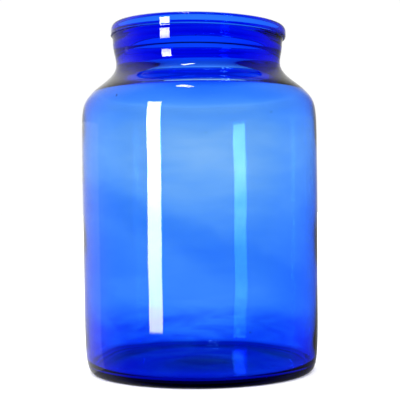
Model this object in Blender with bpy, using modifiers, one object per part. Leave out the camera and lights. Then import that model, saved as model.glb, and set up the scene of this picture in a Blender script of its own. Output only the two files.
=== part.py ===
"""Wide-mouthed blown-glass jar for standing combs and tools in liquid.

Units are metres, +Z is up. The origin is the centre of the circle that the jar stands on.
The jar is two masses of glass: the blown vessel (base, wall, shoulder and neck in one skin)
and the band of glass worked round its mouth. Both are turned shapes about the Z axis.
"""

import math
from collections import namedtuple

import bpy
from mathutils import Vector
from mathutils.geometry import interpolate_bezier

# ---- driving dimensions -------------------------------------------------------------------
HEIGHT = 0.2400                 # bench to the top of the rim

BODY_RADIUS = 0.0819            # widest part of the wall
BODY_TOP_Z = 0.1553             # where the wall starts to turn into the shoulder
FOOT_RADIUS = 0.0813            # wall just above the base corner, slightly drawn in
FOOT_Z = 0.0340
REST_RADIUS = 0.0735            # outer edge of the flat ring that touches the bench
REST_WIDTH = 0.0060
KICK_UP = 0.0035                # how far the middle of the underside is pushed up

SHOULDER_RADIUS = 0.0740        # steepest point of the shoulder, where its curve reverses
SHOULDER_Z = 0.1937
SHOULDER_SLOPE = math.radians(46.0)

NECK_RADIUS = 0.0573            # narrowest part of the neck
NECK_Z = 0.2134
NECK_TOP_RADIUS = 0.0597        # neck where the rim band sits on it

BODY_WALL = 0.0013              # glass thickness of the wall
SHOULDER_WALL = 0.00135         # and of the shoulder, square to its slope
HEEL_START_Z = 0.0620           # below this the wall thickens towards the base
HEEL_RADIUS = 0.0772            # inside radius where the floor's corner begins
HEEL_Z = 0.0130
FLOOR_THICKNESS = 0.0050        # glass under the inside floor at the resting ring
FLOOR_EDGE_RADIUS = 0.0660      # where the inside floor meets its corner

BORE_LOW_RADIUS = 0.0517        # bore where it opens into the shoulder
BORE_LOW_Z = 0.2118
BORE_RADIUS = 0.0525            # bore at the middle of the neck
BORE_Z = 0.2188
BEAD_RADIUS = 0.0514            # thick bead inside the neck, under the rim
BEAD_Z = 0.2238
NECK_SEAT_BORE = 0.0546         # bore at the neck's top edge, on its way out to the mouth

RIM_HEIGHT = 0.0079
RIM_RADIUS = 0.0611             # outside of the rim band
RIM_SEAT_BORE = 0.0549          # inside of the rim band at its lower edge
MOUTH_RADIUS = 0.0570           # inside of the rim band at the mouth
MOUTH_Z = 0.2345                # where the flare ends and the mouth runs straight up
RIM_LAND = 0.0012               # flat ring on top of the rim, where a cover would rest
RIM_INNER_ROUND = 0.0003        # rounding from the mouth to the land
RIM_SIDE_TOP_Z = 0.2360         # where the outside starts to round over to the land
RIM_EDGE_ROUND = 0.0010         # rounding at the rim band's lower edge
SEAT_GAP = 0.0003               # clearance between the neck and the rim band

TURN_STEPS = 48                 # facets round the axis
ARC_STEPS = 4                   # points on a rounded corner
MERGE_DISTANCE = 0.00001

NECK_TOP_Z = HEIGHT - RIM_HEIGHT
NECK_END_Z = NECK_TOP_Z - SEAT_GAP
SHOULDER_DOWN = Vector((math.cos(SHOULDER_SLOPE), -math.sin(SHOULDER_SLOPE)))
SHOULDER_OUT = Vector((math.sin(SHOULDER_SLOPE), math.cos(SHOULDER_SLOPE)))

# ---- profile geometry: every profile is a list of (radius, height) points -------------------
# A knot is a place on a profile. Its two handles are offsets that bend the curve on the side
# of the knot before it and of the knot after it, and steps is how many points the curve from
# this knot to the next one has.
Knot = namedtuple("Knot", "radius height before after steps")
NO_HANDLE = (0.0, 0.0)


def curve(knots):
    """Points on the smooth curve that runs through the knots."""
    points = [(knots[0].radius, knots[0].height)]
    for start, end in zip(knots, knots[1:]):
        controls = (
            Vector((start.radius, start.height, 0.0)),
            Vector((start.radius + start.after[0], start.height + start.after[1], 0.0)),
            Vector((end.radius + end.before[0], end.height + end.before[1], 0.0)),
            Vector((end.radius, end.height, 0.0)),
        )
        run = interpolate_bezier(*controls, start.steps)
        points.extend((point.x, point.y) for point in run[1:])
    return points


def arc(centre, radius, start_angle, end_angle, steps=ARC_STEPS):
    """Points on a circular arc about centre, angles in degrees from the outward direction."""
    points = []
    for step in range(steps):
        angle = math.radians(start_angle + (end_angle - start_angle) * step / (steps - 1))
        points.append((centre[0] + radius * math.cos(angle), centre[1] + radius * math.sin(angle)))
    return points


def outer_wall():
    """Outside of the vessel from the top of the neck down to the edge of the resting ring."""
    return curve([
        Knot(NECK_TOP_RADIUS, NECK_END_Z, NO_HANDLE, (-0.0011, -0.0082), 5),
        Knot(NECK_RADIUS, NECK_Z, (0.0, 0.0014), (0.0, -0.0090), 7),
        Knot(SHOULDER_RADIUS, SHOULDER_Z, -0.0077 * SHOULDER_DOWN, 0.0110 * SHOULDER_DOWN, 7),
        Knot(BODY_RADIUS, BODY_TOP_Z, (0.0, 0.0285), (0.0, -0.0400), 5),
        Knot(FOOT_RADIUS, FOOT_Z, (0.0002, 0.0400), (-0.0003, -0.0185), 7),
        Knot(REST_RADIUS, 0.0, (0.0075, 0.0), NO_HANDLE, 0),
    ])


def inner_wall():
    """Inside of the vessel from the top of the neck down to the centre of the floor."""
    shoulder = Vector((SHOULDER_RADIUS, SHOULDER_Z)) - SHOULDER_WALL * SHOULDER_OUT
    wall_radius = BODY_RADIUS - BODY_WALL
    floor_centre_z = FLOOR_THICKNESS + KICK_UP
    return curve([
        Knot(NECK_SEAT_BORE, NECK_END_Z, NO_HANDLE, (-0.0015, -0.0015), 4),
        Knot(BEAD_RADIUS, BEAD_Z, (0.0, 0.0042), (0.0, -0.0018), 3),
        Knot(BORE_RADIUS, BORE_Z, (0.0, 0.0018), (0.0, -0.0026), 3),
        Knot(BORE_LOW_RADIUS, BORE_LOW_Z, (0.0, 0.0026), (0.0, -0.0035), 6),
        Knot(shoulder.x, shoulder.y, -0.0030 * SHOULDER_DOWN, 0.0095 * SHOULDER_DOWN, 7),
        Knot(wall_radius, BODY_TOP_Z, (0.0, 0.0270), (0.0, -0.0400), 5),
        Knot(FOOT_RADIUS - BODY_WALL, HEEL_START_Z, (0.0002, 0.0200), (0.0, -0.0220), 6),
        Knot(HEEL_RADIUS, HEEL_Z, (0.0011, 0.0110), (-0.0005, -0.0050), 5),
        Knot(FLOOR_EDGE_RADIUS, FLOOR_THICKNESS, (0.0060, 0.0), (-0.0200, 0.0), 6),
        Knot(0.0, floor_centre_z, (0.0240, 0.0), NO_HANDLE, 0),
    ])


def underside():
    """From the edge of the flat resting ring, under the shallow kick-up to the axis."""
    return [(REST_RADIUS, 0.0)] + curve([
        Knot(REST_RADIUS - REST_WIDTH, 0.0, NO_HANDLE, (-0.0180, 0.0014), 6),
        Knot(0.0, KICK_UP, (0.0220, 0.0), NO_HANDLE, 0),
    ])


def vessel_profile():
    """Closed section of the vessel: floor, inside wall, neck top, outside wall, underside."""
    return inner_wall()[::-1] + outer_wall() + underside()[1:]


def rim_profile():
    """Closed section of the rim band, from its inside lower edge round to the same point."""
    flare = curve([
        Knot(RIM_SEAT_BORE, NECK_TOP_Z, NO_HANDLE, (0.0007, 0.0007), 4),
        Knot(MOUTH_RADIUS, MOUTH_Z, (0.0, -0.0010), NO_HANDLE, 0),
    ])
    land_inner = MOUTH_RADIUS + RIM_INNER_ROUND
    land_outer = land_inner + RIM_LAND
    inside_top = arc((land_inner, HEIGHT - RIM_INNER_ROUND), RIM_INNER_ROUND, 180.0, 90.0)
    outside_top = curve([
        Knot(land_outer, HEIGHT, NO_HANDLE, (0.0015, 0.0), 6),
        Knot(RIM_RADIUS, RIM_SIDE_TOP_Z, (0.0, 0.0023), NO_HANDLE, 0),
    ])
    lower_centre = (RIM_RADIUS - RIM_EDGE_ROUND, NECK_TOP_Z + RIM_EDGE_ROUND)
    lower_edge = arc(lower_centre, RIM_EDGE_ROUND, 0.0, -90.0)
    return flare + inside_top + outside_top + lower_edge + flare[:1]


# ---- scene ------------------------------------------------------------------------------------
def clear_scene():
    """Remove every object that the file opened with."""
    for item in list(bpy.data.objects):
        bpy.data.objects.remove(item, do_unlink=True)


def new_collection(name):
    """A collection linked to the scene."""
    collection = bpy.data.collections.new(name)
    bpy.context.scene.collection.children.link(collection)
    return collection


def glass(name, colour, roughness):
    """Clear coloured glass."""
    material = bpy.data.materials.new(name)
    material.use_nodes = True
    shader = material.node_tree.nodes["Principled BSDF"]
    shader.inputs["Base Color"].default_value = (*colour, 1.0)
    shader.inputs["Roughness"].default_value = roughness
    shader.inputs["Metallic"].default_value = 0.0
    shader.inputs["IOR"].default_value = 1.52
    shader.inputs["Transmission Weight"].default_value = 0.9
    return material


def turned(name, profile, material, collection):
    """A solid of revolution about Z, from a profile that runs down its outer side."""
    mesh = bpy.data.meshes.new(name)
    points = [(radius, 0.0, height) for radius, height in profile]
    edges = [(index, index + 1) for index in range(len(points) - 1)]
    mesh.from_pydata(points, edges, [])
    mesh.materials.append(material)
    item = bpy.data.objects.new(name, mesh)
    collection.objects.link(item)

    spin = item.modifiers.new("turn", "SCREW")
    spin.axis = "Z"
    spin.angle = math.tau
    spin.steps = TURN_STEPS
    spin.render_steps = TURN_STEPS
    spin.use_merge_vertices = True
    spin.merge_threshold = MERGE_DISTANCE
    spin.use_smooth_shade = True
    return item


def build():
    """Make the jar's two masses of glass."""
    clear_scene()
    parts = new_collection("disinfectant_jar")
    vessel_glass = glass("cobalt_glass_vessel", (0.02, 0.16, 0.80), 0.03)
    rim_glass = glass("cobalt_glass_rim", (0.01, 0.10, 0.62), 0.05)
    turned("jar_body", vessel_profile(), vessel_glass, parts)
    turned("rim_band", rim_profile(), rim_glass, parts)


build()
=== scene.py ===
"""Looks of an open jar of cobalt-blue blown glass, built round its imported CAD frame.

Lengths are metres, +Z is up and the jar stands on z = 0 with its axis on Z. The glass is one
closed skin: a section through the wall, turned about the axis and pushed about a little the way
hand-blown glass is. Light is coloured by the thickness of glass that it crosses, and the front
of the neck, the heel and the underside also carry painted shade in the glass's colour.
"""

import logging
import math
from dataclasses import dataclass
from enum import Enum

import bpy
import numpy as np
from mathutils import Matrix, Vector


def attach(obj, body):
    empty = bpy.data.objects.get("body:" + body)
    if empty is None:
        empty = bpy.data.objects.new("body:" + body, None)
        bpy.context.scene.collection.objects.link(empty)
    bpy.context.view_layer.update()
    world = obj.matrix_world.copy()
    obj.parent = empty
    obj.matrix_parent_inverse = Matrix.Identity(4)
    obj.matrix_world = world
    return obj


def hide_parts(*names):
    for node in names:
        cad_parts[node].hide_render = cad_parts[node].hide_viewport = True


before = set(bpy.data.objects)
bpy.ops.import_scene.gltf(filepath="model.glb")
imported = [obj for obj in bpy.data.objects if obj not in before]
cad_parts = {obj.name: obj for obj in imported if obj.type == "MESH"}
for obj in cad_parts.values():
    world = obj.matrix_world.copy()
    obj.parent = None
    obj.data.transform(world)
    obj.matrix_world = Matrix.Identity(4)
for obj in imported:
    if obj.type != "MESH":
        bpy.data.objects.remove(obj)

LOG = logging.getLogger("glass_jar")
MM = 0.001


class LampUse(Enum):
    """What a lamp is there to light."""

    FLOOR = "floor"
    GLASS = "glass"


@dataclass(frozen=True)
class Stretch:
    """One cubic stretch of the section, in the (radius, height) plane.

    The point at t is (1-t)^3 a + 3 (1-t)^2 t (a + leave) + 3 (1-t) t^2 (b + arrive) + t^3 b,
    where a and b are the ends. Leave and arrive are the handles, as offsets from those ends.
    """

    start: tuple[float, float]
    leave: tuple[float, float]
    arrive: tuple[float, float]
    end: tuple[float, float]
    count: int

    def points(self) -> np.ndarray:
        """The stretch's points, without its last one.

        Returns:
            Array of (radius, height), one row a point.
        """
        t = np.linspace(0.0, 1.0, self.count, endpoint=False)[:, None]
        a = np.array(self.start)
        b = np.array(self.end)
        pull_a = a + np.array(self.leave)
        pull_b = b + np.array(self.arrive)
        s = 1.0 - t
        return s ** 3 * a + 3 * s * s * t * pull_a + 3 * s * t * t * pull_b + t ** 3 * b


@dataclass
class BlownSkin:
    """The jar's glass: base, wall, shoulder, neck and the band folded over round the mouth.

    A wave is its lobes round the jar, its pitch, its size and its phase. A pair of heights or
    radii says where an effect starts and where it is full. The heel swells and thins as
    sin(2 a + swell_turn), where a is the turn about the axis in radians.
    """

    body_radius: float = 81.9 * MM
    body_top: float = 155.3 * MM
    foot_radius: float = 81.3 * MM
    foot_height: float = 34.0 * MM
    rest_radius: float = 75.2 * MM
    rest_width: float = 6.0 * MM
    kick_up: float = 3.5 * MM
    shoulder_radius: float = 74.0 * MM
    shoulder_height: float = 193.7 * MM
    shoulder_slope: float = math.radians(46.0)
    waist_radius: float = 57.3 * MM
    waist_height: float = 213.4 * MM
    neck_top_radius: float = 59.9 * MM
    neck_fall_radius: float = 59.2 * MM
    neck_fall_height: float = 226.8 * MM
    band_radius: float = 61.1 * MM
    band_base: float = 232.0 * MM
    band_overhang: float = 0.4 * MM
    top: float = 240.0 * MM
    bore_radius: float = 52.5 * MM
    bore_height: float = 219.5 * MM
    bore_low_radius: float = 51.7 * MM
    bore_low_height: float = 211.8 * MM
    bead_radius: float = 51.4 * MM
    bead_height: float = 223.0 * MM
    mouth_radius: float = 57.0 * MM
    mouth_height: float = 235.2 * MM
    land_inner: float = 57.4 * MM
    land_outer: float = 58.5 * MM
    wall_body: float = 1.45 * MM
    wall_top: float = 0.95 * MM
    wall_shoulder: float = 1.12 * MM
    heel_start: float = 62.0 * MM
    heel_radius: float = 77.8 * MM
    heel_height: float = 10.8 * MM
    floor: float = 4.8 * MM
    floor_edge_radius: float = 69.6 * MM
    heel_swell: float = 0.5 * MM
    swell_turn: float = 0.6
    swell_height: tuple[float, float] = (46 * MM, 8 * MM)
    swell_radius: tuple[float, float] = (40 * MM, 70 * MM)
    rim_tilt: float = math.radians(1.5)
    tilt_height: tuple[float, float] = (203 * MM, 232 * MM)
    lean_by_height: tuple[tuple[float, float], ...] = (
        (0.0, 0.0), (198 * MM, 0.0), (209 * MM, -0.1 * MM), (214.5 * MM, -0.3 * MM),
        (220 * MM, -0.5 * MM), (226 * MM, -0.6 * MM), (231 * MM, -0.5 * MM),
        (233.5 * MM, 0.2 * MM), (240 * MM, 0.3 * MM))
    wave_foot: tuple[float, float] = (4 * MM, 24 * MM)
    wave_neck: tuple[float, float] = (232 * MM, 205 * MM)
    outer_waves: tuple[tuple[int, float, float, float], ...] = (
        (2, 900 * MM, 0.05 * MM, 0.4), (5, 95 * MM, 0.030 * MM, 1.1),
        (9, 41 * MM, 0.014 * MM, 2.3), (-13, 27 * MM, 0.005 * MM, 0.2))
    inner_waves: tuple[tuple[int, float, float, float], ...] = (
        (2, 260 * MM, 0.03 * MM, 2.1), (4, 120 * MM, 0.05 * MM, 0.5),
        (-6, 64 * MM, 0.030 * MM, 1.7), (11, 37 * MM, 0.012 * MM, 2.9))
    turns: int = 208

    def underside(self) -> list[Stretch]:
        """The pushed-up middle of the base and the flat ring that it stands on."""
        ring_in = (self.rest_radius - self.rest_width, 0.0)
        ring_out = (self.rest_radius, 0.0)
        return [
            Stretch((0.0, self.kick_up), (22 * MM, 0.0), (-18 * MM, 1.4 * MM), ring_in, 24),
            Stretch(ring_in, (2 * MM, 0.0), (-2 * MM, 0.0), ring_out, 6),
        ]

    def outside(self) -> list[Stretch]:
        """The outer wall from the resting ring up to the band's lower edge."""
        ring_out = (self.rest_radius, 0.0)
        foot = (self.foot_radius, self.foot_height)
        body_top = (self.body_radius, self.body_top)
        shoulder = (self.shoulder_radius, self.shoulder_height)
        waist = (self.waist_radius, self.waist_height)
        neck_fall = (self.neck_fall_radius, self.neck_fall_height)
        neck_top = (self.neck_top_radius, self.band_base - self.band_overhang)
        down = np.array([math.cos(self.shoulder_slope), -math.sin(self.shoulder_slope)])
        return [
            Stretch(ring_out, (5.6 * MM, 0.0), (-0.3 * MM, -18.5 * MM), foot, 34),
            Stretch(foot, (0.2 * MM, 40 * MM), (0.0, -40 * MM), body_top, 40),
            Stretch(body_top, (0.0, 28.5 * MM), tuple(11.0 * MM * down), shoulder, 34),
            Stretch(shoulder, tuple(-7.7 * MM * down), (0.0, -9.0 * MM), waist, 26),
            Stretch(waist, (0.0, 4.6 * MM), (-0.05 * MM, -4.6 * MM), neck_fall, 24),
            Stretch(neck_fall, (0.03 * MM, 2.0 * MM), (-0.5 * MM, -1.4 * MM), neck_top, 12),
        ]

    def band(self) -> list[Stretch]:
        """The crease under the folded band, the band's outside and its rounded top."""
        neck_top = (self.neck_top_radius, self.band_base - self.band_overhang)
        crease = (self.neck_top_radius + 0.25 * MM, self.band_base + 1.1 * MM)
        edge = (self.band_radius - 0.5 * MM, self.band_base)
        side_low = (self.band_radius, self.band_base + 0.9 * MM)
        side_high = (self.band_radius, self.top - 4.0 * MM)
        land_out = (self.land_outer, self.top)
        land_in = (self.land_inner, self.top)
        return [
            Stretch(neck_top, (0.1 * MM, 0.7 * MM), (-0.12 * MM, 0.0), crease, 7),
            Stretch(crease, (0.15 * MM, 0.0), (-0.45 * MM, 0.0), edge, 7),
            Stretch(edge, (0.3 * MM, 0.0), (0.0, -0.5 * MM), side_low, 7),
            Stretch(side_low, (0.05 * MM, 1.2 * MM), (0.0, -1.0 * MM), side_high, 8),
            Stretch(side_high, (0.0, 2.3 * MM), (1.5 * MM, 0.0), land_out, 14),
            Stretch(land_out, (-0.3 * MM, 0.0), (0.3 * MM, 0.0), land_in, 3),
        ]

    def inside(self) -> list[Stretch]:
        """The mouth, the bore of the neck, the inner wall and the inside floor."""
        land_in = (self.land_inner, self.top)
        mouth_top = (self.mouth_radius, self.top - 0.6 * MM)
        mouth = (self.mouth_radius, self.mouth_height)
        bead = (self.bead_radius, self.bead_height)
        bore = (self.bore_radius, self.bore_height)
        bore_low = (self.bore_low_radius, self.bore_low_height)
        slope = self.shoulder_slope
        normal = np.array([math.sin(slope), math.cos(slope)])
        down = np.array([math.cos(slope), -math.sin(slope)])
        shoulder = np.array([self.shoulder_radius, self.shoulder_height])
        shoulder = tuple(shoulder - self.wall_shoulder * normal)
        body_top = (self.body_radius - self.wall_top, self.body_top)
        heel_start = (self.foot_radius - self.wall_body, self.heel_start)
        heel = (self.heel_radius, self.heel_height)
        floor_edge = (self.floor_edge_radius, self.floor)
        centre = (0.0, self.floor + self.kick_up)
        return [
            Stretch(land_in, (-0.25 * MM, 0.0), (0.0, 0.3 * MM), mouth_top, 6),
            Stretch(mouth_top, (0.0, -1.6 * MM), (0.0, 1.6 * MM), mouth, 6),
            Stretch(mouth, (0.0, -2.3 * MM), (0.0, 7.5 * MM), bead, 26),
            Stretch(bead, (0.0, -2.2 * MM), (0.0, 2.2 * MM), bore, 12),
            Stretch(bore, (0.0, -4.0 * MM), (0.0, 4.0 * MM), bore_low, 14),
            Stretch(bore_low, (0.0, -5.0 * MM), tuple(-2.5 * MM * down), shoulder, 30),
            Stretch(shoulder, tuple(9.7 * MM * down), (0.0, 27.0 * MM), body_top, 32),
            Stretch(body_top, (0.0, -34 * MM), (0.05 * MM, 36 * MM), heel_start, 30),
            Stretch(heel_start, (0.0, -22 * MM), (1.1 * MM, 11 * MM), heel, 26),
            Stretch(heel, (-0.4 * MM, -4.4 * MM), (5.2 * MM, 0.0), floor_edge, 18),
            Stretch(floor_edge, (-20 * MM, 0.0), (24 * MM, 0.0), centre, 26),
        ]

    def section(self) -> tuple[np.ndarray, int]:
        """The closed section of the wall, from the axis under the base to the axis above it.

        Returns:
            Array of (radius, height), one row a point, starting and ending on the axis, and the
            number of its first point on the inside of the jar.
        """
        outer = [run.points() for run in self.underside() + self.outside() + self.band()]
        inner = [run.points() for run in self.inside()]
        end = np.array([self.inside()[-1].end])
        return np.concatenate(outer + inner + [end]), sum(len(run) for run in outer)

    def lean(self, height: np.ndarray) -> np.ndarray:
        """How far each height is off the axis along X: the neck leans, the rim comes back.

        Args:
            height: height above the bench.

        Returns:
            The shift along X at each height.
        """
        heights, shifts = zip(*self.lean_by_height)
        return np.interp(height, heights, shifts)

    def ramp(self, value: np.ndarray, start: float, end: float) -> np.ndarray:
        """Smooth step: 3 t^2 - 2 t^3, where t runs from 0 at start to 1 at end.

        Args:
            value: heights or radii.
            start: where the step is 0.
            end: where it is 1, on either side of the start.

        Returns:
            The step at each value.
        """
        t = np.clip((value - start) / (end - start), 0.0, 1.0)
        return t * t * (3.0 - 2.0 * t)

    def waves(self, angle: np.ndarray, height: np.ndarray,
              terms: tuple[tuple[int, float, float, float], ...]) -> np.ndarray:
        """Waves that wind round the jar: the sum of size sin(lobes a + 2 pi z / pitch + phase).

        Args:
            angle: turn about the axis.
            height: height above the bench.
            terms: for each wave its lobes round the jar, its pitch, its size and its phase.

        Returns:
            How far each point stands out.
        """
        total = np.zeros(np.broadcast(angle, height).shape)
        for lobes, pitch, size, phase in terms:
            total += size * np.sin(lobes * angle + 2.0 * math.pi * height / pitch + phase)
        return total

    def surface(self) -> np.ndarray:
        """Every ring of the skin: the point at (s, a) is the section's point at s turned by a.

        The outer and the inner face carry waves of their own, which die out at the resting ring
        and at the band, the heel is thicker on two sides, the neck leans and the rim is tilted.

        Returns:
            Array of rings by angles by x, y and z, without the two poles.
        """
        section, first_inner = self.section()
        angle = np.linspace(0.0, 2.0 * math.pi, self.turns, endpoint=False)
        radius = np.repeat(section[1:-1, :1], self.turns, axis=1)
        height = np.repeat(section[1:-1, 1:], self.turns, axis=1)
        inner = (np.arange(1, len(section) - 1) >= first_inner)[:, None]
        free = self.ramp(height, *self.wave_foot) * self.ramp(height, *self.wave_neck)
        waves = np.where(inner, self.waves(angle, height, self.inner_waves),
                         self.waves(angle, height, self.outer_waves))
        heel = inner * self.ramp(height, *self.swell_height) * self.ramp(radius, *self.swell_radius)
        swell = self.heel_swell * (0.5 + 0.5 * np.sin(2.0 * angle + self.swell_turn)) * heel
        radius = radius + free * waves - swell
        x = radius * np.cos(angle) + self.lean(height)
        tilt = -x * math.tan(self.rim_tilt) * self.ramp(height, *self.tilt_height)
        return np.stack([x, radius * np.sin(angle), height + tilt], axis=2)

    def build(self) -> bpy.types.Object:
        """The jar as one closed mesh that faces out, its two poles closed by fans.

        Returns:
            The new object, linked to the scene.
        """
        section, _ = self.section()
        rings = self.surface()
        count = rings.shape[0]
        low = [0.0, 0.0, section[0, 1]]
        high = [0.0, 0.0, section[-1, 1]]
        points = np.concatenate([rings.reshape(-1, 3), [low, high]])
        here = np.arange(self.turns)
        after = (here + 1) % self.turns
        ring = (np.arange(count - 1) * self.turns)[:, None]
        corners = [ring + here, ring + after, ring + self.turns + after, ring + self.turns + here]
        quads = np.stack(corners, axis=2).reshape(-1, 4)
        last = (count - 1) * self.turns
        pole_low = np.full(self.turns, count * self.turns)
        fan_low = np.stack([pole_low, after, here], axis=1)
        fan_high = np.stack([pole_low + 1, last + here, last + after], axis=1)
        mesh = bpy.data.meshes.new("glass_jar")
        faces = quads.tolist() + fan_low.tolist() + fan_high.tolist()
        mesh.from_pydata(points.tolist(), [], faces)
        mesh.shade_smooth()
        jar = bpy.data.objects.new("glass_jar", mesh)
        bpy.context.scene.collection.objects.link(jar)
        return jar


@dataclass(frozen=True)
class CobaltGlass:
    """Clear cobalt-blue glass, coloured in its depth.

    A pair of heights, or of places along Y for the front, says where an effect starts and where
    it is full. The broad band's two pairs are measured from the height of the swirl. A tint
    multiplies the light that crosses the surface. The tint on the front of the neck is painted
    shade, the tint under the foot is painted contact shade, and the heel's tint is partly deeper
    glass and partly painted shade.
    """

    ior: float = 1.52
    depth_colour: tuple[float, float, float] = (0.020, 0.540, 0.9760)
    depth_density: float = 980.0
    swirl_slope: float = math.radians(24.7)
    swirl_height: float = 95.0 * MM
    band_low: tuple[float, float] = (-16 * MM, -2 * MM)
    band_high: tuple[float, float] = (14 * MM, 3 * MM)
    band_waver: float = 24 * MM
    band_tint: tuple[float, float, float] = (0.60, 0.80, 0.98)
    cloud_scale: float = 22.0
    wisp_scale: float = 75.0
    wisp_stretch: tuple[float, float, float] = (0.25, 0.35, 1.0)
    wisp_steps: tuple[float, float] = (0.38, 0.62)
    wisp_tint: tuple[float, float, float] = (0.90, 0.955, 1.0)
    front: tuple[float, float] = (10 * MM, -30 * MM)
    front_share: float = 0.9
    # Painted shade: the front of the neck is darkened between these heights, standing in for the
    # dark seen through the thick neck.
    neck_shade_low: tuple[float, float] = (202.5 * MM, 206 * MM)
    neck_shade_high: tuple[float, float] = (222 * MM, 219 * MM)
    neck_shade_tint: tuple[float, float, float] = (0.30, 0.45, 0.94)
    # Darker towards the bottom: partly deeper glass, partly painted shade for the lesser light from
    # below.
    heel_height: tuple[float, float] = (46 * MM, 14 * MM)
    heel_depth_and_shade_tint: tuple[float, float, float] = (0.36, 0.46, 0.95)
    # Painted contact shade: the glass is darkened next to the bench, where light from under the jar
    # is cut off.
    foot_height: tuple[float, float] = (4.6 * MM, 3.6 * MM)
    contact_shade_tint: tuple[float, float, float] = (0.30, 0.40, 0.55)
    worn_height: tuple[float, float] = (0.6 * MM, 0.0)
    worn_roughness: float = 0.3
    speck_scale: float = 30.0
    speck_size: tuple[float, float] = (0.021, 0.015)
    speck_tint: tuple[float, float, float] = (0.0, 0.0, 0.01)
    cord_scale: float = 160.0
    ripple: float = 0.012 * MM

    def material(self) -> bpy.types.Material:
        """The glass as nodes.

        Returns:
            The new material.
        """
        material = bpy.data.materials.new("cobalt_glass")
        material.use_nodes = True
        tree = material.node_tree
        tree.nodes.clear()

        place_frame = tree.nodes.new("NodeFrame")
        place_frame.label = "Where on the jar"
        where = tree.nodes.new("ShaderNodeTexCoord")
        where.label = "Place on the jar"
        where.location = (-1900, 0)
        where.parent = place_frame
        swirl = tree.nodes.new("ShaderNodeMapping")
        swirl.label = "Turned along the swirl of the gather"
        swirl.location = (-1700, 300)
        swirl.parent = place_frame
        drawn = tree.nodes.new("ShaderNodeMapping")
        drawn.label = "Drawn out along the swirl"
        drawn.location = (-1700, -100)
        drawn.parent = place_frame
        axes = tree.nodes.new("ShaderNodeSeparateXYZ")
        axes.label = "Across, away and up"
        axes.location = (-1500, -400)
        axes.parent = place_frame
        swirl_axes = tree.nodes.new("ShaderNodeSeparateXYZ")
        swirl_axes.label = "Height across the swirl"
        swirl_axes.location = (-1500, 300)
        swirl_axes.parent = place_frame

        streak_and_neck_shade_frame = tree.nodes.new("NodeFrame")
        streak_and_neck_shade_frame.label = "Darker streaks of cobalt, and painted shade on the neck"
        wisps = tree.nodes.new("ShaderNodeTexNoise")
        wisps.label = "Fine wisps"
        wisps.location = (-1300, 0)
        wisps.parent = streak_and_neck_shade_frame
        clouds = tree.nodes.new("ShaderNodeTexNoise")
        clouds.label = "Cloudy patches"
        clouds.location = (-1300, 600)
        clouds.parent = streak_and_neck_shade_frame
        waver = tree.nodes.new("ShaderNodeMath")
        waver.label = "The band wavers"
        waver.location = (-1100, 400)
        waver.parent = streak_and_neck_shade_frame
        band_low = tree.nodes.new("ShaderNodeMapRange")
        band_low.label = "Lower edge of the broad band"
        band_low.location = (-900, 500)
        band_low.parent = streak_and_neck_shade_frame
        band_high = tree.nodes.new("ShaderNodeMapRange")
        band_high.label = "Upper edge of the broad band"
        band_high.location = (-900, 250)
        band_high.parent = streak_and_neck_shade_frame
        near_side = tree.nodes.new("ShaderNodeMapRange")
        near_side.label = "Only on the front of the jar"
        near_side.location = (-900, 0)
        near_side.parent = streak_and_neck_shade_frame
        band = tree.nodes.new("ShaderNodeMath")
        band.label = "Broad band"
        band.location = (-700, 400)
        band.parent = streak_and_neck_shade_frame
        band_front = tree.nodes.new("ShaderNodeMath")
        band_front.label = "Broad band at the front"
        band_front.location = (-550, 300)
        band_front.parent = streak_and_neck_shade_frame
        wisp_tint = tree.nodes.new("ShaderNodeValToRGB")
        wisp_tint.label = "Wisps of deeper blue"
        wisp_tint.location = (-900, -250)
        wisp_tint.parent = streak_and_neck_shade_frame
        streaked = tree.nodes.new("ShaderNodeMix")
        streaked.label = "Add the broad band"
        streaked.location = (-350, 100)
        streaked.parent = streak_and_neck_shade_frame

        # Painted shade on the front of the neck: a darker tint between two heights, on the front
        # only.
        neck_shade_low = tree.nodes.new("ShaderNodeMapRange")
        neck_shade_low.label = "Lower edge of the collar"
        neck_shade_low.location = (-900, 1050)
        neck_shade_low.parent = streak_and_neck_shade_frame
        neck_shade_high = tree.nodes.new("ShaderNodeMapRange")
        neck_shade_high.label = "Upper edge of the collar"
        neck_shade_high.location = (-900, 800)
        neck_shade_high.parent = streak_and_neck_shade_frame
        neck_shade = tree.nodes.new("ShaderNodeMath")
        neck_shade.label = "Painted shade on the front of the neck"
        neck_shade.location = (-700, 900)
        neck_shade.parent = streak_and_neck_shade_frame
        neck_shade_front = tree.nodes.new("ShaderNodeMath")
        neck_shade_front.label = "Painted neck shade at the front"
        neck_shade_front.location = (-550, 700)
        neck_shade_front.parent = streak_and_neck_shade_frame
        neck_shaded = tree.nodes.new("ShaderNodeMix")
        neck_shaded.label = "Add the collar"
        neck_shaded.location = (-250, 300)
        neck_shaded.parent = streak_and_neck_shade_frame

        # The heel's tint is partly deeper glass and partly painted shade, uneven as wisps.
        heel_depth_and_shade_frame = tree.nodes.new("NodeFrame")
        heel_depth_and_shade_frame.label = "Deeper, uneven blue and painted shade in the heel"
        heel = tree.nodes.new("ShaderNodeMapRange")
        heel.label = "Down in the heel"
        heel.location = (-900, 1300)
        heel.parent = heel_depth_and_shade_frame
        heel_wisps = tree.nodes.new("ShaderNodeMapRange")
        heel_wisps.label = "Uneven, as wisps"
        heel_wisps.location = (-900, 1550)
        heel_wisps.parent = heel_depth_and_shade_frame
        heel_patch = tree.nodes.new("ShaderNodeMath")
        heel_patch.label = "How deep the heel is"
        heel_patch.location = (-650, 1400)
        heel_patch.parent = heel_depth_and_shade_frame
        heel_deepened_and_shaded = tree.nodes.new("ShaderNodeMix")
        heel_deepened_and_shaded.label = "Add the heel"
        heel_deepened_and_shaded.location = (-200, 500)
        heel_deepened_and_shaded.parent = heel_depth_and_shade_frame

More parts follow.
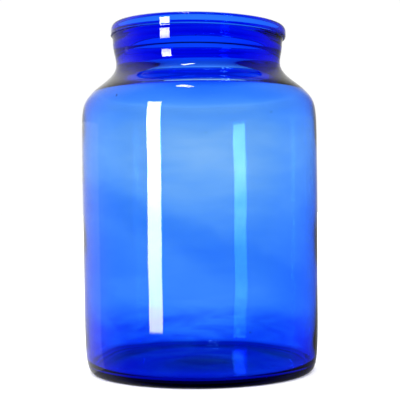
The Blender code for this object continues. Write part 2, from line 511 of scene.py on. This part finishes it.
        # The tint here is painted contact shade; the rougher ring it stands on is real wear.
        contact_shade_and_wear_frame = tree.nodes.new("NodeFrame")
        contact_shade_and_wear_frame.label = "Under the foot: painted contact shade, worn and scuffed"
        foot = tree.nodes.new("ShaderNodeMapRange")
        foot.label = "Near the bench"
        foot.location = (-900, -550)
        foot.parent = contact_shade_and_wear_frame
        contact_shaded = tree.nodes.new("ShaderNodeMix")
        contact_shaded.label = "Painted contact shade underneath"
        contact_shaded.location = (-150, 0)
        contact_shaded.parent = contact_shade_and_wear_frame
        worn = tree.nodes.new("ShaderNodeMapRange")
        worn.label = "The ring that it stands on"
        worn.location = (-900, -800)
        worn.parent = contact_shade_and_wear_frame
        scuffs = tree.nodes.new("ShaderNodeMath")
        scuffs.label = "Scuffed, not polished"
        scuffs.location = (-350, -500)
        scuffs.parent = contact_shade_and_wear_frame

        speck_frame = tree.nodes.new("NodeFrame")
        speck_frame.label = "A few dark specks in the glass"
        seeds = tree.nodes.new("ShaderNodeTexVoronoi")
        seeds.label = "Scattered grains"
        seeds.location = (-900, -1100)
        seeds.parent = speck_frame
        speck = tree.nodes.new("ShaderNodeMapRange")
        speck.label = "Their size"
        speck.location = (-600, -1100)
        speck.parent = speck_frame
        specked = tree.nodes.new("ShaderNodeMix")
        specked.label = "Add the specks"
        specked.location = (50, 0)
        specked.parent = speck_frame

        relief_frame = tree.nodes.new("NodeFrame")
        relief_frame.label = "Ripple left by blowing"
        cords = tree.nodes.new("ShaderNodeTexNoise")
        cords.label = "Fine cords left by blowing"
        cords.location = (-600, -700)
        cords.parent = relief_frame
        relief = tree.nodes.new("ShaderNodeBump")
        relief.label = "Ripple"
        relief.location = (-150, -700)
        relief.parent = relief_frame

        shader = tree.nodes.new("ShaderNodeBsdfPrincipled")
        shader.label = "Polished glass surface"
        shader.location = (300, 200)
        depth = tree.nodes.new("ShaderNodeVolumeAbsorption")
        depth.label = "Cobalt in the depth of the glass"
        depth.location = (300, -400)
        output = tree.nodes.new("ShaderNodeOutputMaterial")
        output.label = "Glass"
        output.location = (650, 0)

        swirl.inputs["Rotation"].default_value = (0.0, -self.swirl_slope, 0.0)
        drawn.inputs["Rotation"].default_value = (0.0, -self.swirl_slope, 0.0)
        drawn.inputs["Scale"].default_value = self.wisp_stretch
        wisps.inputs["Scale"].default_value = self.wisp_scale
        wisps.inputs["Detail"].default_value = 4.0
        wisps.inputs["Distortion"].default_value = 0.6
        clouds.inputs["Scale"].default_value = self.cloud_scale
        clouds.inputs["Detail"].default_value = 3.0
        waver.operation = "MULTIPLY_ADD"
        waver.inputs[1].default_value = self.band_waver
        for node, (start, end) in ((band_low, self.band_low), (band_high, self.band_high)):
            node.interpolation_type = "SMOOTHSTEP"
            node.inputs["From Min"].default_value = self.swirl_height + start
            node.inputs["From Max"].default_value = self.swirl_height + end
        for node, (start, end) in ((near_side, self.front), (neck_shade_low, self.neck_shade_low),
                                   (neck_shade_high, self.neck_shade_high), (heel, self.heel_height),
                                   (foot, self.foot_height), (worn, self.worn_height)):
            node.interpolation_type = "SMOOTHSTEP"
            node.inputs["From Min"].default_value = start
            node.inputs["From Max"].default_value = end
        near_side.inputs["To Max"].default_value = self.front_share
        worn.inputs["To Max"].default_value = self.worn_roughness
        heel_wisps.inputs["From Min"].default_value = self.wisp_steps[1]
        heel_wisps.inputs["From Max"].default_value = self.wisp_steps[0]
        heel_patch.operation = "MULTIPLY"
        neck_shade.operation = "MULTIPLY"
        neck_shade_front.operation = "MULTIPLY"
        band.operation = "MULTIPLY"
        band_front.operation = "MULTIPLY"
        wisp_tint.color_ramp.elements[0].position = self.wisp_steps[0]
        wisp_tint.color_ramp.elements[0].color = (*self.wisp_tint, 1.0)
        wisp_tint.color_ramp.elements[1].position = self.wisp_steps[1]
        wisp_tint.color_ramp.elements[1].color = (1.0, 1.0, 1.0, 1.0)
        for node, tint in ((streaked, self.band_tint), (neck_shaded, self.neck_shade_tint),
                           (heel_deepened_and_shaded, self.heel_depth_and_shade_tint), (contact_shaded, self.contact_shade_tint),
                           (specked, self.speck_tint)):
            node.data_type = "RGBA"
            node.blend_type = "MULTIPLY"
            node.inputs[7].default_value = (*tint, 1.0)
        scuffs.operation = "MULTIPLY"
        seeds.inputs["Scale"].default_value = self.speck_scale
        speck.inputs["From Min"].default_value = self.speck_size[0]
        speck.inputs["From Max"].default_value = self.speck_size[1]
        cords.inputs["Scale"].default_value = self.cord_scale
        cords.inputs["Detail"].default_value = 1.0
        relief.inputs["Strength"].default_value = 1.0
        relief.inputs["Distance"].default_value = self.ripple
        shader.inputs["IOR"].default_value = self.ior
        shader.inputs["Transmission Weight"].default_value = 1.0
        depth.inputs["Color"].default_value = (*self.depth_colour, 1.0)
        depth.inputs["Density"].default_value = self.depth_density

        tree.links.new(where.outputs["Object"], swirl.inputs["Vector"])
        tree.links.new(where.outputs["Object"], drawn.inputs["Vector"])
        tree.links.new(where.outputs["Object"], axes.inputs["Vector"])
        tree.links.new(where.outputs["Object"], clouds.inputs["Vector"])
        tree.links.new(where.outputs["Object"], seeds.inputs["Vector"])
        tree.links.new(swirl.outputs["Vector"], swirl_axes.inputs["Vector"])
        tree.links.new(drawn.outputs["Vector"], wisps.inputs["Vector"])
        tree.links.new(drawn.outputs["Vector"], cords.inputs["Vector"])
        tree.links.new(clouds.outputs["Fac"], waver.inputs[0])
        tree.links.new(swirl_axes.outputs["Z"], waver.inputs[2])
        tree.links.new(waver.outputs[0], band_low.inputs["Value"])
        tree.links.new(waver.outputs[0], band_high.inputs["Value"])
        tree.links.new(axes.outputs["Y"], near_side.inputs["Value"])
        tree.links.new(band_low.outputs["Result"], band.inputs[0])
        tree.links.new(band_high.outputs["Result"], band.inputs[1])
        tree.links.new(band.outputs[0], band_front.inputs[0])
        tree.links.new(near_side.outputs["Result"], band_front.inputs[1])
        tree.links.new(wisps.outputs["Fac"], wisp_tint.inputs["Fac"])
        tree.links.new(wisp_tint.outputs["Color"], streaked.inputs[6])
        tree.links.new(band_front.outputs[0], streaked.inputs["Factor"])
        tree.links.new(axes.outputs["Z"], neck_shade_low.inputs["Value"])
        tree.links.new(axes.outputs["Z"], neck_shade_high.inputs["Value"])
        tree.links.new(neck_shade_low.outputs["Result"], neck_shade.inputs[0])
        tree.links.new(neck_shade_high.outputs["Result"], neck_shade.inputs[1])
        tree.links.new(neck_shade.outputs[0], neck_shade_front.inputs[0])
        tree.links.new(near_side.outputs["Result"], neck_shade_front.inputs[1])
        tree.links.new(streaked.outputs[2], neck_shaded.inputs[6])
        tree.links.new(neck_shade_front.outputs[0], neck_shaded.inputs["Factor"])
        tree.links.new(axes.outputs["Z"], heel.inputs["Value"])
        tree.links.new(wisps.outputs["Fac"], heel_wisps.inputs["Value"])
        tree.links.new(heel.outputs["Result"], heel_patch.inputs[0])
        tree.links.new(heel_wisps.outputs["Result"], heel_patch.inputs[1])
        tree.links.new(neck_shaded.outputs[2], heel_deepened_and_shaded.inputs[6])
        tree.links.new(heel_patch.outputs[0], heel_deepened_and_shaded.inputs["Factor"])
        tree.links.new(heel_deepened_and_shaded.outputs[2], contact_shaded.inputs[6])
        tree.links.new(axes.outputs["Z"], foot.inputs["Value"])
        tree.links.new(foot.outputs["Result"], contact_shaded.inputs["Factor"])
        tree.links.new(contact_shaded.outputs[2], specked.inputs[6])
        tree.links.new(seeds.outputs["Distance"], speck.inputs["Value"])
        tree.links.new(speck.outputs["Result"], specked.inputs["Factor"])
        tree.links.new(specked.outputs[2], shader.inputs["Base Color"])
        tree.links.new(axes.outputs["Z"], worn.inputs["Value"])
        tree.links.new(worn.outputs["Result"], scuffs.inputs[0])
        tree.links.new(wisps.outputs["Fac"], scuffs.inputs[1])
        tree.links.new(scuffs.outputs[0], shader.inputs["Roughness"])
        tree.links.new(cords.outputs["Fac"], relief.inputs["Height"])
        tree.links.new(relief.outputs["Normal"], shader.inputs["Normal"])
        tree.links.new(shader.outputs["BSDF"], output.inputs["Surface"])
        tree.links.new(depth.outputs["Volume"], output.inputs["Volume"])
        return material


@dataclass
class Studio:
    """A pale floor, a white surround, three lamps and the camera.

    A turn is in degrees from the front towards the right, and a rise in degrees above level. A
    table by turn or by rise pairs such angles with a brightness from 0 to 1.
    """

    floor_radius: float = 8.0
    floor_sides: int = 96
    camera_distance: float = 705.0 * MM
    camera_height: float = 118.5 * MM
    lens: float = 90.3
    sensor_width: float = 36.0
    roll: float = math.radians(-0.68)
    backdrop_strength: float = 1.02
    through_strength: float = 1.34
    floor_light: float = 2.2
    paper_gain: float = 2.0
    paper_by_turn: tuple[tuple[float, float], ...] = (
        (-180, 0.9), (-165, 0.85), (-148, 0.6), (-112, 0.5), (-95, 0.25), (-80, 0.08), (-60, 0.02),
        (0, 0.0), (60, 0.0), (85, 0.06), (110, 0.16), (148, 0.22), (165, 0.6), (180, 0.9))
    paper_by_rise: tuple[tuple[float, float], ...] = (
        (-90, 0.25), (-9, 0.26), (-3, 0.33), (3, 0.4), (8, 0.5), (18, 0.55), (40, 0.55), (75, 0.1),
        (90, 0.0))
    inner_by_turn: tuple[tuple[float, float], ...] = (
        (-180, 0.6), (-155, 0.7), (-130, 1.0), (-110, 1.0), (-78, 0.15), (-60, 0.0), (60, 0.0),
        (78, 0.15), (110, 1.0), (130, 1.0), (155, 0.7), (180, 0.6))
    lit_by_rise: tuple[tuple[float, float], ...] = (
        (-90, 0.65), (-35, 0.65), (-16, 1.0), (-7, 1.0), (0, 0.9), (5, 0.86), (9, 0.98),
        (18, 1.0), (25, 0.82), (40, 0.7), (90, 0.55))
    strip_turn: tuple[float, float] = (-50.5, -36.8)
    strip_rise: tuple[float, float] = (-8.2, 21.0)
    strip_edge: float = 0.35
    strip_light: tuple[float, float] = (15.0, 24.0)
    strip_glow: tuple[float, float] = (-6.0, 4.0)
    card_turn: float = -135.0
    card_reach: float = 0.32
    card_size: tuple[float, float] = (0.40, 0.30)
    card_light: float = 0.3
    card_height: float = 50.0 * MM
    key_place: tuple[float, float, float] = (-1.1, -1.1, 1.4)
    key_size: tuple[float, float] = (0.9, 0.9)
    key_light: float = 5.0
    ceiling_aim: tuple[float, float, float] = (0.0, -60.0 * MM, 200.0 * MM)
    ceiling_way: tuple[float, float, float] = (-0.143, -0.128, 0.985)
    ceiling_reach: float = 1.2
    ceiling_size: tuple[float, float] = (0.24, 0.12)
    ceiling_light: float = 16.0

    def floor_material(self) -> bpy.types.Material:
        """Matt pale paint for the floor.

        Returns:
            The new material.
        """
        material = bpy.data.materials.new("pale_floor")
        material.use_nodes = True
        tree = material.node_tree
        tree.nodes.clear()

        paint_frame = tree.nodes.new("NodeFrame")
        paint_frame.label = "Matt, with no shine"
        paint = tree.nodes.new("ShaderNodeBsdfPrincipled")
        paint.label = "Pale paint"
        paint.location = (-300, 0)
        paint.parent = paint_frame
        output = tree.nodes.new("ShaderNodeOutputMaterial")
        output.label = "Floor"
        output.location = (100, 0)

        paint.inputs["Base Color"].default_value = (0.9, 0.9, 0.9, 1.0)
        paint.inputs["Roughness"].default_value = 0.9
        paint.inputs["Specular IOR Level"].default_value = 0.0

        tree.links.new(paint.outputs["BSDF"], output.inputs["Surface"])
        return material

    def floor(self) -> None:
        """A pale disc at z = 0: the point at a is the floor's radius turned by a.

        The glass neither mirrors it nor shows it, and sees the lit surround instead.
        """
        angle = np.linspace(0.0, 2.0 * math.pi, self.floor_sides, endpoint=False)
        rim = np.stack([np.cos(angle), np.sin(angle), np.zeros(self.floor_sides)], axis=1)
        mesh = bpy.data.meshes.new("floor_wide")
        mesh.from_pydata((rim * self.floor_radius).tolist(), [], [list(range(self.floor_sides))])
        floor = bpy.data.objects.new("floor_wide", mesh)
        bpy.context.scene.collection.objects.link(floor)
        mesh.materials.append(self.floor_material())
        floor.visible_glossy = False
        floor.visible_transmission = False
        LOG.info("floor: %.0f m across", 2.0 * self.floor_radius)

    def world(self) -> None:
        """White light from all round, but a dark room in front for what the glass mirrors."""
        world = bpy.data.worlds.new("studio_world")
        bpy.context.scene.world = world
        world.use_nodes = True
        tree = world.node_tree
        tree.nodes.clear()

        aim_frame = tree.nodes.new("NodeFrame")
        aim_frame.label = "Where the ray points"
        where = tree.nodes.new("ShaderNodeTexCoord")
        where.label = "Direction"
        where.location = (-2200, 0)
        where.parent = aim_frame
        split = tree.nodes.new("ShaderNodeSeparateXYZ")
        split.label = "Right, away and up"
        split.location = (-2000, 0)
        split.parent = aim_frame
        front = tree.nodes.new("ShaderNodeMath")
        front.label = "Towards the front"
        front.location = (-1800, 100)
        front.parent = aim_frame
        azimuth = tree.nodes.new("ShaderNodeMath")
        azimuth.label = "Turn from the front"
        azimuth.location = (-1600, 100)
        azimuth.parent = aim_frame
        rise = tree.nodes.new("ShaderNodeMath")
        rise.label = "Angle above level"
        rise.location = (-1600, -100)
        rise.parent = aim_frame

        scale_frame = tree.nodes.new("NodeFrame")
        scale_frame.label = "Angles as 0 to 1 for the ramps"
        round_scale = tree.nodes.new("ShaderNodeMapRange")
        round_scale.label = "Turn, back to back"
        round_scale.location = (-1300, 500)
        round_scale.parent = scale_frame
        rise_scale = tree.nodes.new("ShaderNodeMapRange")
        rise_scale.label = "Height, straight down to straight up"
        rise_scale.location = (-1300, 200)
        rise_scale.parent = scale_frame

        paper_frame = tree.nodes.new("NodeFrame")
        paper_frame.label = "White backdrop, as the glass mirrors it"
        paper_round = tree.nodes.new("ShaderNodeValToRGB")
        paper_round.label = "Backdrop round the jar"
        paper_round.location = (-1000, 600)
        paper_round.parent = paper_frame
        paper_rise = tree.nodes.new("ShaderNodeValToRGB")
        paper_rise.label = "Backdrop by height"
        paper_rise.location = (-1000, 350)
        paper_rise.parent = paper_frame
        paper = tree.nodes.new("ShaderNodeMath")
        paper.label = "Backdrop"
        paper.location = (-650, 500)
        paper.parent = paper_frame
        paper_gain = tree.nodes.new("ShaderNodeMath")
        paper_gain.label = "Backdrop strength"
        paper_gain.location = (-450, 500)
        paper_gain.parent = paper_frame

        inner_frame = tree.nodes.new("NodeFrame")
        inner_frame.label = "Backdrop as mirrored inside the glass"
        inner_round = tree.nodes.new("ShaderNodeValToRGB")
        inner_round.label = "White behind, dark in front"
        inner_round.location = (-1000, 1300)
        inner_round.parent = inner_frame
        inner = tree.nodes.new("ShaderNodeMath")
        inner.label = "Light mirrored inside"
        inner.location = (-650, 1300)
        inner.parent = inner_frame

        strip_frame = tree.nodes.new("NodeFrame")
        strip_frame.label = "Tall strip light, front left"
        strip_left = tree.nodes.new("ShaderNodeMapRange")
        strip_left.label = "Left edge"
        strip_left.location = (-1000, 0)
        strip_left.parent = strip_frame
        strip_right = tree.nodes.new("ShaderNodeMapRange")
        strip_right.label = "Right edge"
        strip_right.location = (-1000, -300)
        strip_right.parent = strip_frame
        strip_low = tree.nodes.new("ShaderNodeMapRange")
        strip_low.label = "Lower edge"
        strip_low.location = (-1000, -600)
        strip_low.parent = strip_frame
        strip_high = tree.nodes.new("ShaderNodeMapRange")
        strip_high.label = "Upper edge"
        strip_high.location = (-1000, -900)
        strip_high.parent = strip_frame
        strip_glow = tree.nodes.new("ShaderNodeMapRange")
        strip_glow.label = "Dimmer towards the floor"
        strip_glow.location = (-1000, -1200)
        strip_glow.parent = strip_frame
        strip_width = tree.nodes.new("ShaderNodeMath")
        strip_width.label = "Width"
        strip_width.location = (-700, -100)
        strip_width.parent = strip_frame
        strip_reach = tree.nodes.new("ShaderNodeMath")
        strip_reach.label = "Height"
        strip_reach.location = (-700, -700)
        strip_reach.parent = strip_frame
        strip_shape = tree.nodes.new("ShaderNodeMath")
        strip_shape.label = "Strip"
        strip_shape.location = (-500, -400)
        strip_shape.parent = strip_frame
        strip = tree.nodes.new("ShaderNodeMath")
        strip.label = "Strip's light"
        strip.location = (-300, -400)
        strip.parent = strip_frame

        lit_frame = tree.nodes.new("NodeFrame")
        lit_frame.label = "Lit paper behind the glass"
        lit_rise = tree.nodes.new("ShaderNodeValToRGB")
        lit_rise.label = "Bright low down, dim overhead"
        lit_rise.location = (-1000, 1000)
        lit_rise.parent = lit_frame
        lit = tree.nodes.new("ShaderNodeMath")
        lit.label = "Light seen through the glass"
        lit.location = (-450, 900)
        lit.parent = lit_frame

        choice_frame = tree.nodes.new("NodeFrame")
        choice_frame.label = "Which light each ray meets"
        path = tree.nodes.new("ShaderNodeLightPath")
        path.label = "Kind of ray"
        path.location = (-300, 1300)
        path.parent = choice_frame
        room = tree.nodes.new("ShaderNodeMath")
        room.label = "All that the glass mirrors"
        room.location = (0, 0)
        room.parent = choice_frame
        entered = tree.nodes.new("ShaderNodeMath")
        entered.label = "Been inside the glass"
        entered.location = (-100, 400)
        entered.parent = choice_frame
        surface = tree.nodes.new("ShaderNodeMix")
        surface.label = "Mirrored by the skin or inside"
        surface.location = (0, 200)
        surface.parent = choice_frame
        bounced = tree.nodes.new("ShaderNodeMath")
        bounced.label = "Mirrored by the glass"
        bounced.location = (0, 700)
        bounced.parent = choice_frame
        diffuse = tree.nodes.new("ShaderNodeMix")
        diffuse.label = "Backdrop, or light on the floor"
        diffuse.location = (0, 1100)
        diffuse.parent = choice_frame
        through = tree.nodes.new("ShaderNodeMix")
        through.label = "Or seen through the glass"
        through.location = (200, 900)
        through.parent = choice_frame
        mirrored = tree.nodes.new("ShaderNodeMix")
        mirrored.label = "Or mirrored"
        mirrored.location = (400, 600)
        mirrored.parent = choice_frame
        sky = tree.nodes.new("ShaderNodeBackground")
        sky.label = "Surround"
        sky.location = (600, 600)
        output = tree.nodes.new("ShaderNodeOutputWorld")
        output.label = "Studio"
        output.location = (800, 600)

        front.operation = "MULTIPLY"
        front.inputs[1].default_value = -1.0
        azimuth.operation = "ARCTAN2"
        rise.operation = "ARCSINE"
        round_scale.inputs["From Min"].default_value = -math.pi
        round_scale.inputs["From Max"].default_value = math.pi
        rise_scale.inputs["From Min"].default_value = -math.pi / 2
        rise_scale.inputs["From Max"].default_value = math.pi / 2
        self.fill_ramp(paper_round, -180.0, 180.0, self.paper_by_turn)
        self.fill_ramp(paper_rise, -90.0, 90.0, self.paper_by_rise)
        self.fill_ramp(inner_round, -180.0, 180.0, self.inner_by_turn)
        self.fill_ramp(lit_rise, -90.0, 90.0, self.lit_by_rise)
        paper.operation = "MULTIPLY"
        paper_gain.operation = "MULTIPLY"
        paper_gain.inputs[1].default_value = self.paper_gain
        lit.operation = "MULTIPLY"
        lit.inputs[1].default_value = self.through_strength
        edge = math.radians(self.strip_edge)
        left, right = [math.radians(angle) for angle in self.strip_turn]
        low, high = [math.radians(angle) for angle in self.strip_rise]
        for node, start, end in ((strip_left, left - edge, left + edge),
                                 (strip_right, right + edge, right - edge),
                                 (strip_low, low - edge, low + edge),
                                 (strip_high, high + edge, high - edge)):
            node.interpolation_type = "SMOOTHSTEP"
            node.inputs["From Min"].default_value = start
            node.inputs["From Max"].default_value = end
        strip_glow.inputs["From Min"].default_value = math.radians(self.strip_glow[0])
        strip_glow.inputs["From Max"].default_value = math.radians(self.strip_glow[1])
        strip_glow.inputs["To Min"].default_value = self.strip_light[0]
        strip_glow.inputs["To Max"].default_value = self.strip_light[1]
        strip_width.operation = "MULTIPLY"
        strip_reach.operation = "MULTIPLY"
        strip_shape.operation = "MULTIPLY"
        strip.operation = "MULTIPLY"
        room.operation = "ADD"
        inner.operation = "MULTIPLY"
        entered.operation = "GREATER_THAN"
        entered.inputs[1].default_value = 0.5
        bounced.operation = "GREATER_THAN"
        bounced.inputs[1].default_value = 0.5
        diffuse.inputs["A"].default_value = self.backdrop_strength
        diffuse.inputs["B"].default_value = self.floor_light
        sky.inputs["Color"].default_value = (1.0, 1.0, 1.0, 1.0)

        tree.links.new(where.outputs["Generated"], split.inputs["Vector"])
        tree.links.new(split.outputs["Y"], front.inputs[0])
        tree.links.new(split.outputs["X"], azimuth.inputs[0])
        tree.links.new(front.outputs[0], azimuth.inputs[1])
        tree.links.new(split.outputs["Z"], rise.inputs[0])
        tree.links.new(azimuth.outputs[0], round_scale.inputs["Value"])
        tree.links.new(rise.outputs[0], rise_scale.inputs["Value"])
        tree.links.new(round_scale.outputs["Result"], paper_round.inputs["Fac"])
        tree.links.new(rise_scale.outputs["Result"], paper_rise.inputs["Fac"])
        tree.links.new(rise_scale.outputs["Result"], lit_rise.inputs["Fac"])
        tree.links.new(paper_round.outputs["Color"], paper.inputs[0])
        tree.links.new(paper_rise.outputs["Color"], paper.inputs[1])
        tree.links.new(paper.outputs[0], paper_gain.inputs[0])
        tree.links.new(lit_rise.outputs["Color"], lit.inputs[0])
        tree.links.new(azimuth.outputs[0], strip_left.inputs["Value"])
        tree.links.new(azimuth.outputs[0], strip_right.inputs["Value"])
        tree.links.new(rise.outputs[0], strip_low.inputs["Value"])
        tree.links.new(rise.outputs[0], strip_high.inputs["Value"])
        tree.links.new(rise.outputs[0], strip_glow.inputs["Value"])
        tree.links.new(strip_left.outputs["Result"], strip_width.inputs[0])
        tree.links.new(strip_right.outputs["Result"], strip_width.inputs[1])
        tree.links.new(strip_low.outputs["Result"], strip_reach.inputs[0])
        tree.links.new(strip_high.outputs["Result"], strip_reach.inputs[1])
        tree.links.new(strip_width.outputs[0], strip_shape.inputs[0])
        tree.links.new(strip_reach.outputs[0], strip_shape.inputs[1])
        tree.links.new(strip_shape.outputs[0], strip.inputs[0])
        tree.links.new(strip_glow.outputs["Result"], strip.inputs[1])
        tree.links.new(round_scale.outputs["Result"], inner_round.inputs["Fac"])
        tree.links.new(inner_round.outputs["Color"], inner.inputs[0])
        tree.links.new(lit.outputs[0], inner.inputs[1])
        tree.links.new(path.outputs["Transmission Depth"], entered.inputs[0])
        tree.links.new(entered.outputs[0], surface.inputs["Factor"])
        tree.links.new(paper_gain.outputs[0], surface.inputs["A"])
        tree.links.new(inner.outputs[0], surface.inputs["B"])
        tree.links.new(surface.outputs["Result"], room.inputs[0])
        tree.links.new(strip.outputs[0], room.inputs[1])
        tree.links.new(path.outputs["Is Diffuse Ray"], diffuse.inputs["Factor"])
        tree.links.new(path.outputs["Is Transmission Ray"], through.inputs["Factor"])
        tree.links.new(diffuse.outputs["Result"], through.inputs["A"])
        tree.links.new(lit.outputs[0], through.inputs["B"])
        tree.links.new(path.outputs["Glossy Depth"], bounced.inputs[0])
        tree.links.new(bounced.outputs[0], mirrored.inputs["Factor"])
        tree.links.new(through.outputs["Result"], mirrored.inputs["A"])
        tree.links.new(room.outputs[0], mirrored.inputs["B"])
        tree.links.new(mirrored.outputs["Result"], sky.inputs["Strength"])
        tree.links.new(sky.outputs["Background"], output.inputs["Surface"])

    def fill_ramp(self, node: bpy.types.Node, low: float, high: float,
                  stops: tuple[tuple[float, float], ...]) -> None:
        """Put grey stops on a ramp that spans the angles from low to high.

        Args:
            node: the ramp.
            low: the angle in degrees at the ramp's start.
            high: the angle in degrees at its end.
            stops: pairs of an angle in degrees and a brightness from 0 to 1, in rising order.
        """
        ramp = node.color_ramp
        ramp.interpolation = "LINEAR"
        while len(ramp.elements) < len(stops):
            ramp.elements.new(1.0)
        for element, (angle, value) in zip(ramp.elements, stops):
            element.position = (angle - low) / (high - low)
            element.color = (value, value, value, 1.0)

    def lamp(self, name: str, place: Vector, aim: Vector, size: tuple[float, float],
             radiance: float, use: LampUse) -> None:
        """A rectangular lamp that faces a point and lights only the floor or only the glass.

        Args:
            name: the lamp's name.
            place: its middle.
            aim: the point that it faces.
            size: its width and height.
            radiance: how bright its face is, where 1 is paper white.
            use: what it is there to light.
        """
        data = bpy.data.lights.new(name, "AREA")
        data.shape = "RECTANGLE"
        data.size, data.size_y = size
        data.energy = radiance * math.pi * size[0] * size[1]
        lamp = bpy.data.objects.new(name, data)
        lamp.location = place
        lamp.rotation_euler = (aim - place).to_track_quat("-Z", "Y").to_euler()
        lamp.visible_camera = False
        lamp.visible_transmission = False
        lamp.visible_glossy = use is LampUse.GLASS
        lamp.visible_diffuse = use is LampUse.FLOOR
        bpy.context.scene.collection.objects.link(lamp)
        LOG.info("%s: %.2f by %.2f m", name, *size)

    def lamps(self) -> None:
        """A soft key for the floor, a card behind the jar's left and a small lamp overhead."""
        middle = Vector((0.0, 0.0, self.camera_height))
        key = Vector(self.key_place)
        self.lamp("key", key, middle, self.key_size, self.key_light, LampUse.FLOOR)
        low = Vector((0.0, 0.0, self.card_height))
        turn = math.radians(self.card_turn)
        card = low + self.card_reach * Vector((math.sin(turn), -math.cos(turn), 0.0))
        self.lamp("left_card", card, low, self.card_size, self.card_light, LampUse.GLASS)
        neck = Vector(self.ceiling_aim)
        ceiling = neck + self.ceiling_reach * Vector(self.ceiling_way)
        self.lamp("ceiling_lamp", ceiling, neck, self.ceiling_size, self.ceiling_light,
                  LampUse.GLASS)

    def camera(self) -> None:
        """The camera, level and in front of the jar."""
        data = bpy.data.cameras.new("camera")
        data.lens = self.lens
        data.sensor_width = self.sensor_width
        camera = bpy.data.objects.new("camera", data)
        place = Matrix.Translation((0.0, -self.camera_distance, self.camera_height))
        turn = Matrix.Rotation(math.pi / 2, 4, "X") @ Matrix.Rotation(self.roll, 4, "Z")
        camera.matrix_world = place @ turn
        bpy.context.scene.collection.objects.link(camera)
        bpy.context.scene.camera = camera

    def build(self) -> None:
        """Everything round the jar, and enough bounces for light to cross the glass."""
        self.floor()
        self.world()
        self.lamps()
        self.camera()
        scene = bpy.context.scene
        scene.view_settings.view_transform = "Standard"
        scene.cycles.max_bounces = 24
        scene.cycles.glossy_bounces = 16
        scene.cycles.transmission_bounces = 24


def main() -> None:
    """Build the jar and the studio, and report each."""
    logging.basicConfig(level=logging.INFO, format="%(name)s: %(message)s")
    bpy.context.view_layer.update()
    jar = BlownSkin().build()
    jar.data.materials.append(CobaltGlass().material())
    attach(jar, "root")
    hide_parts("jar_body", "rim_band")
    LOG.info("glass_jar: %d points, %d faces", len(jar.data.vertices), len(jar.data.polygons))
    Studio().build()


if __name__ == "__main__":
    main()
